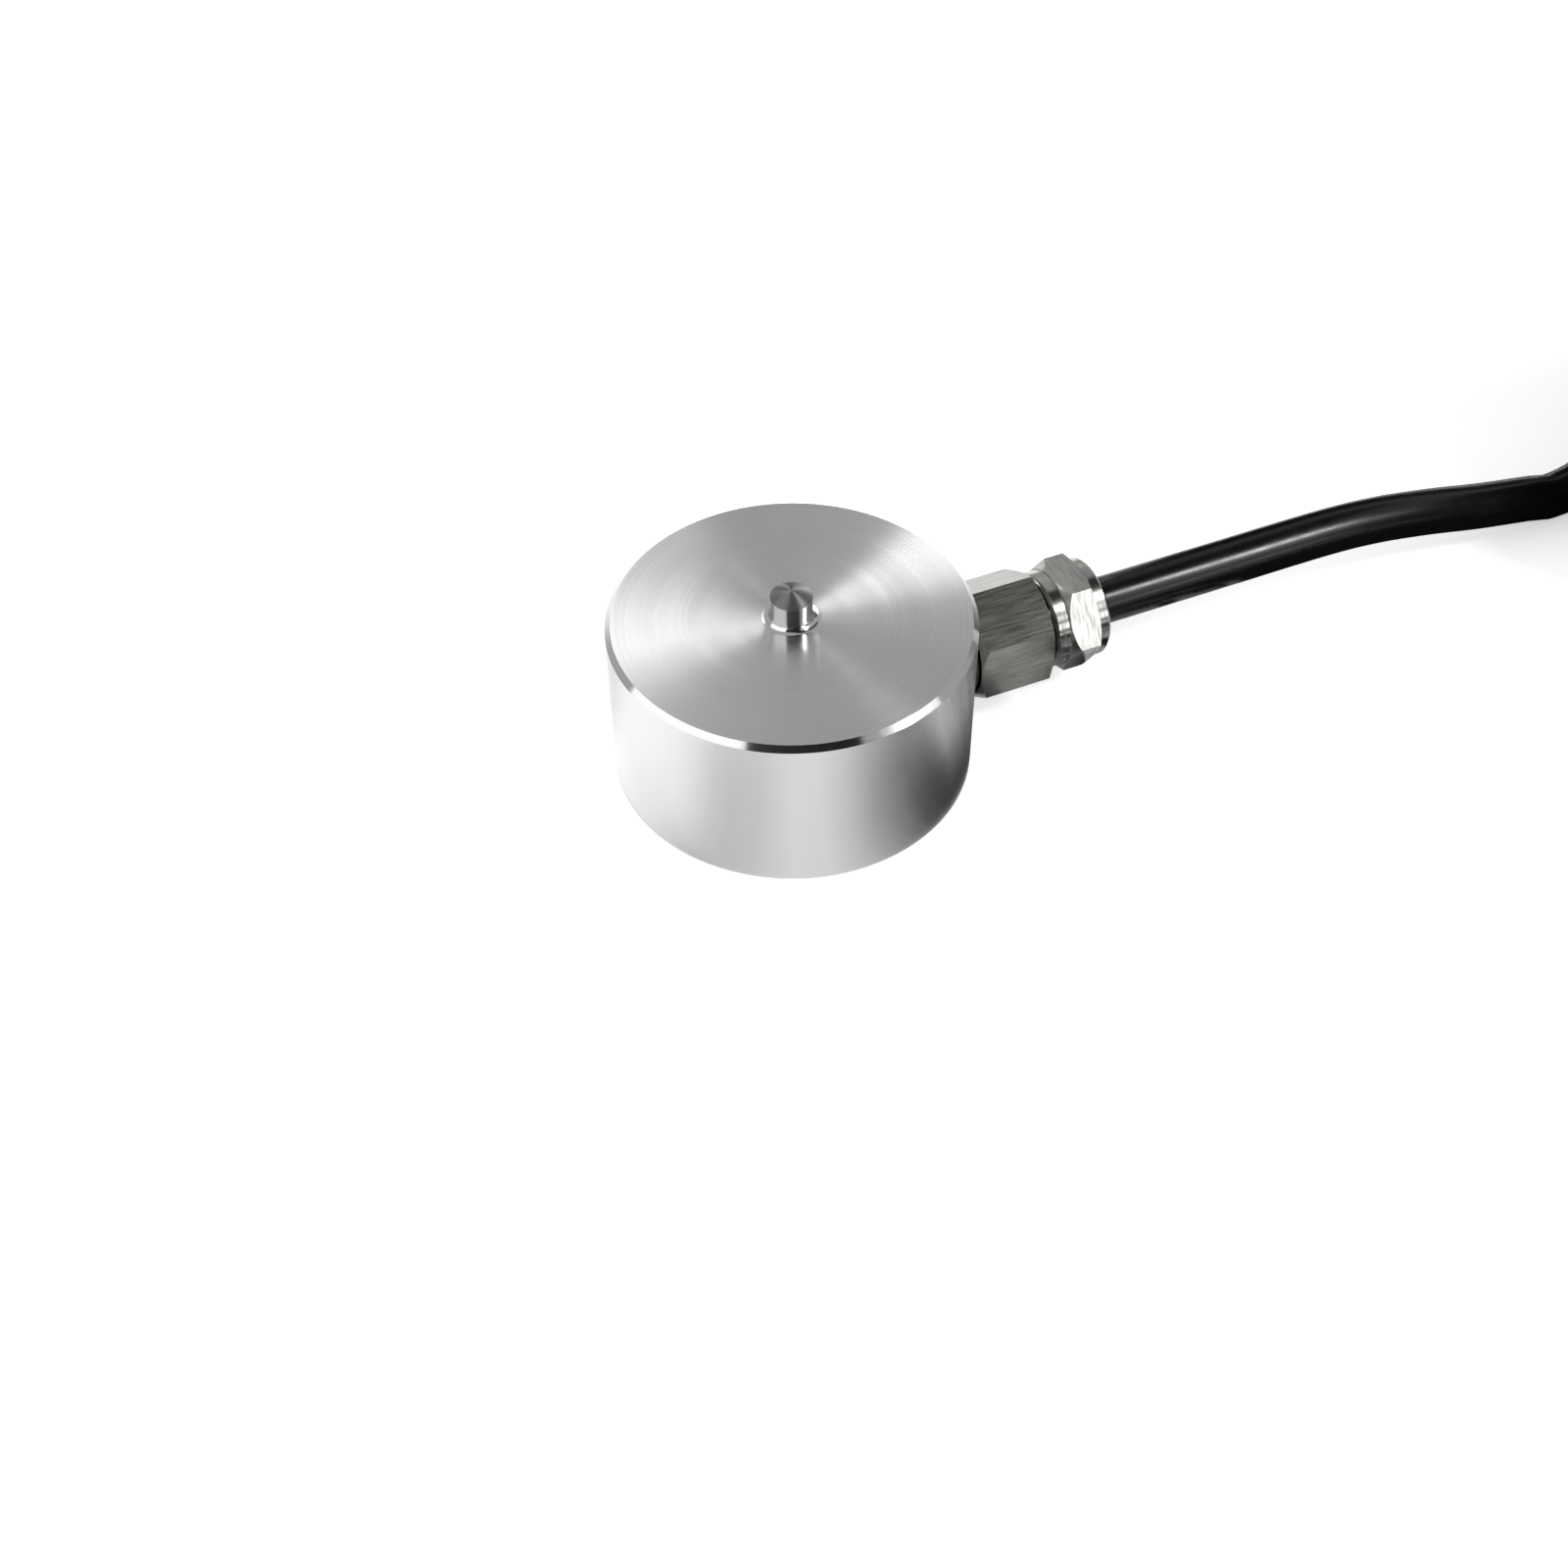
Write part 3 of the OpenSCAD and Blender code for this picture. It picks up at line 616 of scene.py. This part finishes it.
@dataclass
class Studio:
    """Pale floor, softboxes, black flags and a pale surround."""

    floor_half: float = 1.5
    floor_colour: float = 0.8
    floor_glow: float = 0.53
    turn_deg: float = 22.96
    surround: float = 0.54
    mat_inner: float = 10.15 * MM
    mat_fade: float = 20.0 * MM
    mat_outer: float = 30.0 * MM
    mat_narrow: float = 0.62
    strip_x: tuple[float, float] = (13.0 * MM, 85.0 * MM)
    strip_y: tuple[float, float] = (-60.0 * MM, 14.0 * MM)
    strip_fade: float = 5.0 * MM
    strip_tone: float = 1.0
    mat_z: float = 0.12 * MM
    shade_x: tuple[float, float] = (33.0 * MM, 80.0 * MM)
    shade_y: float = 20.0 * MM
    shade_z: tuple[float, float] = (3.0 * MM, 22.0 * MM)
    # Painted reflection round the body: for each direction a tone, black below 0 and glowing white above 0, seen only
    # in the metal.
    mat_angles: tuple[float, ...] = (-180, -169, -158, -144, -132, -124, -115, -105, -90, -78, -66, -57, -48,
                                     -38, -27, -14, 4, 40, 70, 165, 180)
    mat_tones: tuple[float, ...] = (0.4, 0.4, 0.34, 0.18, -0.1, -0.28, -0.35, -0.29, -0.09, -0.13, -0.37, -0.62, -0.81,
                                    -0.94, -0.98, -0.98, -0.94, -0.88, 0, 0, 0.4)
    boxes: tuple[Softbox, ...] = (
        Softbox("back_left", 109.2, 47.3, (16.1, 6.9), 1.73, 0.06),
        Softbox("back_right", 70.3, 20.0, (13.3, 12.5), 20.5, 0.35),
        Softbox("left", -150.0, 37.0, (74.0, 48.0), 1.2, 0.25),
        Softbox("right", -16.0, 45.0, (8.0, 13.0), 38.0, 0.25),
        Softbox("right_low", -20.0, 31.0, (34.0, 9.0), 1.8),
        Softbox("front_right", -36.0, 13.4, (20.0, 12.0), 3.0),
    )
    flags: tuple[Flag, ...] = (
        Flag("flag_front", -84.0, 45.0, (52.0, 44.0)),
        Flag("flag_above", -18.0, 66.0, (90.0, 22.0)),
        Flag("flag_low", -58.0, 10.5, (104.0, 25.0), 0.3),
    )

    def aim(self, azimuth: float, elevation: float, away: float) -> Matrix:
        """Place that faces the origin from that direction, in the picture's own degrees."""
        a, e = math.radians(azimuth - self.turn_deg), math.radians(elevation)
        out = np.array([math.cos(a) * math.cos(e), math.sin(a) * math.cos(e), math.sin(e)])
        level = unit(np.cross([0.0, 0.0, 1.0], out))
        columns = np.column_stack([level, np.cross(out, level), out, out * away])
        return Matrix(np.vstack([columns, [0, 0, 0, 1]]).tolist())

    @staticmethod
    def span_of(angle: float, away: float) -> float:
        """Width that fills an angle in degrees at that distance."""
        return 2 * away * math.tan(math.radians(angle / 2))

    def lamp(self, box: Softbox) -> bpy.types.Object:
        """Makes a softbox's lamp. Its power is pi times its brightness times its area."""
        data = bpy.data.lights.new(box.name, "AREA")
        wide, high = (self.span_of(a, box.away) for a in box.spread)
        data.shape, data.size, data.size_y = "RECTANGLE", wide, high
        data.energy = math.pi * box.brightness * wide * high
        lamp = bpy.data.objects.new(box.name, data)
        lamp.matrix_world = self.aim(box.azimuth, box.elevation, box.away)
        lamp.visible_camera = False
        bpy.context.scene.collection.objects.link(lamp)
        return lamp

    @staticmethod
    def mirrored_only(obj: bpy.types.Object) -> None:
        """Leaves a card to be seen in mirror-like surfaces only."""
        obj.visible_camera = obj.visible_diffuse = obj.visible_shadow = obj.visible_transmission = False

    def flag_card(self, flag: Flag) -> bpy.types.Object:
        """Makes a flag's card."""
        wide, high = (self.span_of(a, flag.away) / 2 for a in flag.spread)
        corners = np.array([[-wide, -high, 0], [wide, -high, 0], [wide, high, 0], [-wide, high, 0]])
        turn = np.array(self.aim(flag.azimuth, flag.elevation, flag.away))
        return self.card(flag.name, corners @ turn[:3, :3].T + turn[:3, 3])

    def shade_card(self) -> bpy.types.Object:
        """A black card upright behind the straight cable, which keeps the lamp at the back off it."""
        (x0, x1), (z0, z1), y = self.shade_x, self.shade_z, self.shade_y
        obj = self.card("flag_behind_cable", np.array([[x0, y, z0], [x1, y, z0], [x1, y, z1], [x0, y, z1]]))
        obj.visible_shadow = True
        return obj

    def card(self, name: str, corners: Array) -> bpy.types.Object:
        """Makes a black card with these four corners."""
        obj = make_mesh(name, corners, [[0, 1, 2, 3]])
        g = Graph(name)
        black = g.node("BsdfDiffuse", {"Color": (0.02, 0.02, 0.02, 1.0)}).outputs[0]
        g.tree.links.new(black, g.output.inputs["Surface"])
        obj.data.materials.append(g.material)
        self.mirrored_only(obj)
        return obj

    def mat(self, name: str, points: Array, faces: Array, tone: Array) -> bpy.types.Object:
        """A card on the floor that only mirror-like surfaces see, a painted reflection: black (painted shade) where
        its tone is below 0, glowing white (painted highlight) where it is above, and clear at 0. Its UV holds both
        shares.

        Args:
            name: Name of the card.
            points: Its points, one a row.
            faces: Its faces.
            tone: The tone at each point, -1 to 1.

        Returns:
            The card's object.
        """
        obj = make_mesh(name, points, faces, np.stack([np.maximum(-tone, 0.0), np.maximum(tone, 0.0)], axis=-1))
        g = Graph(name)
        parts = g.node("SeparateXYZ", {0: g.node("TexCoord").outputs["UV"]}).outputs
        black = g.node("BsdfDiffuse", {"Color": (0.02, 0.02, 0.02, 1.0)}).outputs[0]
        clear = g.node("BsdfTransparent").outputs[0]
        both = g.node("MixShader", {0: parts["X"], 1: clear, 2: black}).outputs[0]
        # Painted highlight: the card glows where its tone is above 0, though it is no lamp.
        painted_reflection_shader = g.node("AddShader", {0: both, 1: g.node("Emission", {"Strength": parts["Y"]}).outputs[0]}).outputs[0]
        g.tree.links.new(painted_reflection_shader, g.output.inputs["Surface"])
        obj.data.materials.append(g.material)
        self.mirrored_only(obj)
        return obj

    def round_mat(self) -> bpy.types.Object:
        """Cards round the body, r (cos a, sin a), seen only in mirror-like surfaces, that paint the wall's reflection:
        a tone for each direction, black below 0 and glowing above, that fades outwards.
        """
        a = np.linspace(-180.0, 180.0, 181)
        r = np.linspace(self.mat_inner, self.mat_outer, 15)[:, None]
        far = np.interp(a, [-40.0, -15.0, 60.0, 90.0], [1.0, self.mat_narrow, self.mat_narrow, 1.0])
        fade = 1.0 - ease((r - self.mat_fade * far) / ((self.mat_outer - self.mat_fade) * far))
        turned = np.radians(a - self.turn_deg)
        x, y = r * np.cos(turned), r * np.sin(turned)
        points = np.stack([x, y, np.full_like(x, self.mat_z)], axis=-1).reshape(-1, 3)
        tone = (fade * np.interp(a, self.mat_angles, self.mat_tones)).ravel()
        return self.mat("painted_reflection_round_body", points, grid_faces(len(r), len(a), False), tone)

    def cable_mat(self) -> bpy.types.Object:
        """A black card under the nut and the straight cable, clear at its edges, seen only in reflections: painted
        shade in the mirrored floor beneath the nut and the cable.
        """
        x, y = np.linspace(*self.strip_x, 41)[:, None], np.linspace(*self.strip_y, 21)[None, :]
        edge = [ease((v - v.min()) / self.strip_fade) * ease((v.max() - v) / self.strip_fade) for v in (x, y)]
        points = np.stack(np.broadcast_arrays(x, y, self.mat_z), axis=-1).reshape(-1, 3)
        # Painted shade: the card is black under the nut and the cable, fading out at its edges.
        tone = -(self.strip_tone * edge[0] * edge[1]).ravel()
        return self.mat("painted_shade_under_cable", points, grid_faces(41, 21, False), tone)

    def floor(self) -> bpy.types.Object:
        """The floor: white in the picture and in reflections, with the object's shadow on it."""
        h = self.floor_half
        obj = make_mesh("floor", np.array([[-h, -h, 0.0], [h, -h, 0.0], [h, h, 0.0], [-h, h, 0.0]]), [[0, 1, 2, 3]])
        g = Graph("floor_white")
        path = g.node("LightPath").outputs
        seen = g.math("MAXIMUM", g.math("MAXIMUM", path["Is Camera Ray"], path["Is Glossy Ray"]),
                      path["Is Transmission Ray"])
        diffuse = g.node("BsdfDiffuse", {"Color": (*[self.floor_colour] * 3, 1.0)}).outputs[0]
        glow = g.node("Emission", {"Strength": g.math("MULTIPLY", seen, self.floor_glow)}).outputs[0]
        both = g.node("AddShader", {0: diffuse, 1: glow}).outputs[0]
        g.tree.links.new(both, g.output.inputs["Surface"])
        obj.data.materials.append(g.material)
        return obj

    def build(self) -> None:
        """Makes the floor, the lamps, the cards and the surround."""
        self.floor()
        self.round_mat()
        self.cable_mat()
        for box in self.boxes:
            self.lamp(box)
        for flag in self.flags:
            self.flag_card(flag)
        self.shade_card()
        world = bpy.data.worlds.new("studio")
        world.use_nodes = True
        back = world.node_tree.nodes["Background"]
        back.inputs["Color"].default_value = (1.0, 1.0, 1.0, 1.0)
        back.inputs["Strength"].default_value = self.surround
        scene = bpy.context.scene
        scene.world = world
        scene.view_settings.view_transform = "Standard"


def main() -> None:
    """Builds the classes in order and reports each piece."""
    logging.basicConfig(level=logging.INFO, format="%(name)s: %(message)s")
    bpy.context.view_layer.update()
    finishes = Finishes()
    Viewpoint().build()
    slots = {part["node"]: part["material_slot"] for part in frame["record"]["subparts"]}
    finishes.dress_nodes(slots)
    Cable().build(finishes)
    Studio().build()
    for obj in bpy.context.scene.objects:
        if obj.type in ("MESH", "CURVE") and not obj.hide_render:
            log.info("%s: %d faces", obj.name, len(obj.data.polygons))


if __name__ == "__main__":
    main()
